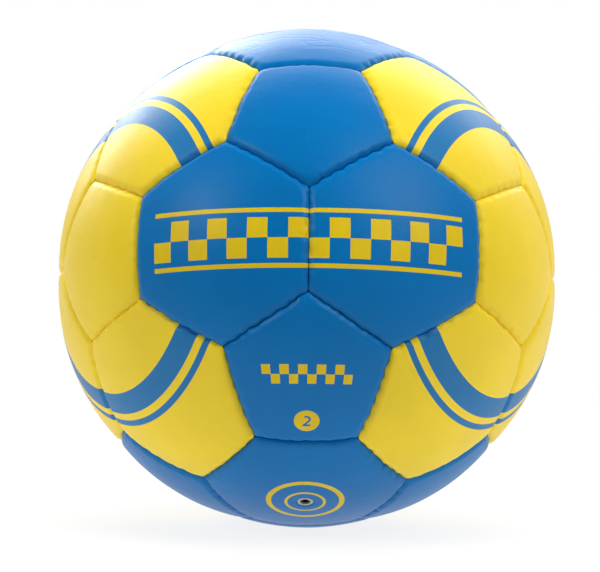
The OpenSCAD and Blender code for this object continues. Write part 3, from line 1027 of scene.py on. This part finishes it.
def make_tent(settings):
    """White cloth round the stage: lit behind the ball and open at the front, and so in mirrors too."""
    world = bpy.data.worlds.new("white_tent")
    world.use_nodes = True
    tree = world.node_tree
    tree.nodes.clear()
    way = add(tree, "TexCoord").node.outputs["Generated"]
    split = add(tree, "SeparateXYZ", {0: way}).node.outputs
    lit = add(tree, "MapRange", {"Value": split["Z"], "From Min": 0.0, "From Max": 0.4,
                                 "To Min": 0.45 * settings.tent, "To Max": settings.tent})
    tent = add(tree, "MapRange", {"Value": split["Y"], "From Min": 0.05, "From Max": 0.6,
                                  "To Min": settings.tent_front, "To Max": lit},
               interpolation_type="SMOOTHSTEP")
    straight, _ = background_rays(tree)
    strength = add(tree, "Mix", {FACTOR: straight, NUMBER_A: tent, NUMBER_B: 1.0})
    glow = add(tree, "Background", {"Color": WHITE, "Strength": strength})
    add(tree, "OutputWorld", {"Surface": glow})
    bpy.context.scene.world = world


def area_lamp(name, place, width, height, power):
    """A softbox that looks at the ball."""
    light = bpy.data.lights.new(name, "AREA")
    light.shape = "RECTANGLE"
    light.size = width
    light.size_y = height
    light.energy = power
    lamp = bpy.data.objects.new(name, light)
    lamp.location = place
    lamp.rotation_mode = "QUATERNION"
    lamp.rotation_quaternion = Vector(place).to_track_quat("Z", "Y")
    bpy.context.scene.collection.objects.link(lamp)
    return lamp


def make_lamps(settings):
    """The softboxes and the screen.

    The rims only show as a sheen along the top of the ball, and the screen only as light on it.
    Each is sampled by itself, because rays of the other kind would still hit it.
    """
    for name, (place, width, height) in LAMPS.items():
        lamp = area_lamp(name, place, width, height, getattr(settings, f"{name}_power"))
        if name not in ("left", "right"):
            lamp.visible_diffuse = name == "overhead"
            lamp.visible_glossy = name != "overhead"
            lamp.data.cycles.use_multiple_importance_sampling = False


def make_camera():
    """The camera, from the photograph's place and angle."""
    pitch, yaw, roll = CAMERA_TURN
    turn = (Matrix.Rotation(pitch, 3, "X") @ Matrix.Rotation(yaw, 3, "Y")
            @ Matrix.Rotation(roll, 3, "Z") @ Matrix.Rotation(PATTERN_TILT, 3, "X"))
    place = -(turn.transposed() @ BALL_IN_CAMERA)
    camera = bpy.data.objects.new("camera", bpy.data.cameras.new("camera"))
    camera.data.lens = LENS_MM
    camera.data.sensor_width = SENSOR_MM
    camera.data.clip_start = 0.05
    right, ahead, up = turn.row
    camera.matrix_world = Matrix.Translation(place) @ Matrix((right, up, -ahead)).transposed().to_4x4()
    bpy.context.scene.collection.objects.link(camera)
    bpy.context.scene.camera = camera


class HANDBALL_OT_stage(bpy.types.Operator):
    """Makes the floor, the lamps, the white surroundings and the camera"""
    bl_idname = "handball.stage"
    bl_label = "Make stage"

    def execute(self, context):
        settings = context.scene.handball_stage
        make_floor(settings)
        make_tent(settings)
        make_lamps(settings)
        make_camera()
        context.scene.view_settings.view_transform = "Standard"
        return {"FINISHED"}


OPERATORS = (HANDBALL_OT_panels, HANDBALL_OT_threads, HANDBALL_OT_linings, HANDBALL_OT_bladder,
             HANDBALL_OT_stage)


class HANDBALL_PT_panel(bpy.types.Panel):
    """Lists the ball's sizes, colours and pieces"""
    bl_idname = "HANDBALL_PT_panel"
    bl_label = "Handball"
    bl_space_type = "VIEW_3D"
    bl_region_type = "UI"
    bl_category = "Handball"

    def draw(self, context):
        for group in (context.scene.handball_sizes, context.scene.handball_colours,
                      context.scene.handball_stage):
            box = self.layout.box()
            for name in group.__annotations__:
                box.prop(group, name)
        for operator in OPERATORS:
            self.layout.operator(operator.bl_idname)


GROUPS = {"handball_sizes": HANDBALL_PG_sizes, "handball_colours": HANDBALL_PG_colours,
          "handball_stage": HANDBALL_PG_stage}


def register():
    for cls in (*GROUPS.values(), *OPERATORS, HANDBALL_PT_panel):
        bpy.utils.register_class(cls)
    for name, cls in GROUPS.items():
        setattr(bpy.types.Scene, name, PointerProperty(type=cls))


def unregister():
    for name in GROUPS:
        delattr(bpy.types.Scene, name)
    for cls in reversed((*GROUPS.values(), *OPERATORS, HANDBALL_PT_panel)):
        bpy.utils.unregister_class(cls)


def main():
    register()
    bpy.ops.handball.stage()
    bpy.ops.handball.panels()
    bpy.ops.handball.threads()
    bpy.ops.handball.linings()
    bpy.ops.handball.bladder()
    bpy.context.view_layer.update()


if __name__ == "__main__":
    main()
